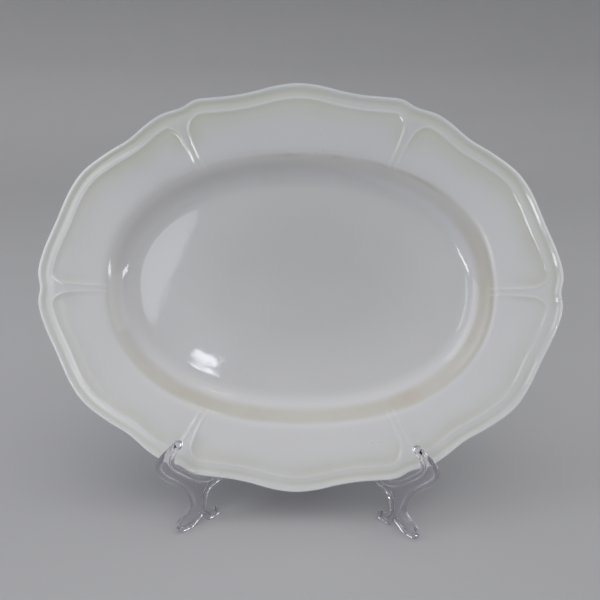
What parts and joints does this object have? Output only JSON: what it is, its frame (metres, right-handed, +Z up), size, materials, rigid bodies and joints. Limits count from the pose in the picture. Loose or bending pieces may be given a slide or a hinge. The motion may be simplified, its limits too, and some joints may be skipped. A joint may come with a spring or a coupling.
{
  "type": "china serving platter on a folding easel",
  "caption": "Oval ivory china serving platter with a scalloped, ribbed rim and a sunken well, leaning on a clear folding plastic easel that it lifts off.",
  "frame": {"origin": "on the table, on the axis of the easel's hinge, at the foot of the spine", "axes": "+X to the viewer's right along the platter's length, +Y away from the viewer, +Z up"},
  "size_m": [0.356, 0.1012, 0.2941],
  "materials": {
    "china_glaze": "ivory glaze, glossy, with light age stains and fine marks",
    "clear_plastic": "clear moulded plastic, glossy, with a faint violet-grey tint",
    "pin_plastic": "clear plastic rod, glossy"
  },
  "bodies": {
    "left_side": {"left_side": "clear_plastic", "hinge_pin": "pin_plastic"},
    "right_side": {"right_side": "clear_plastic"},
    "platter": {"platter": "china_glaze"}
  },
  "joints": [
    {"name": "platter_lift", "type": "slide", "parent": "left_side", "child": "platter", "axis": [0, 0, 1], "range_m": [0, 0.42]},
    {"name": "stand_fold", "type": "hinge", "parent": "left_side", "child": "right_side", "pos_m": [0, 0, 0], "axis": [0, 0, 1], "range_deg": [-90, 0]}
  ],
  "couplings": [
    {"joint": "stand_fold", "follows": "platter_lift", "rad_per_m": -3.739}
  ]
}
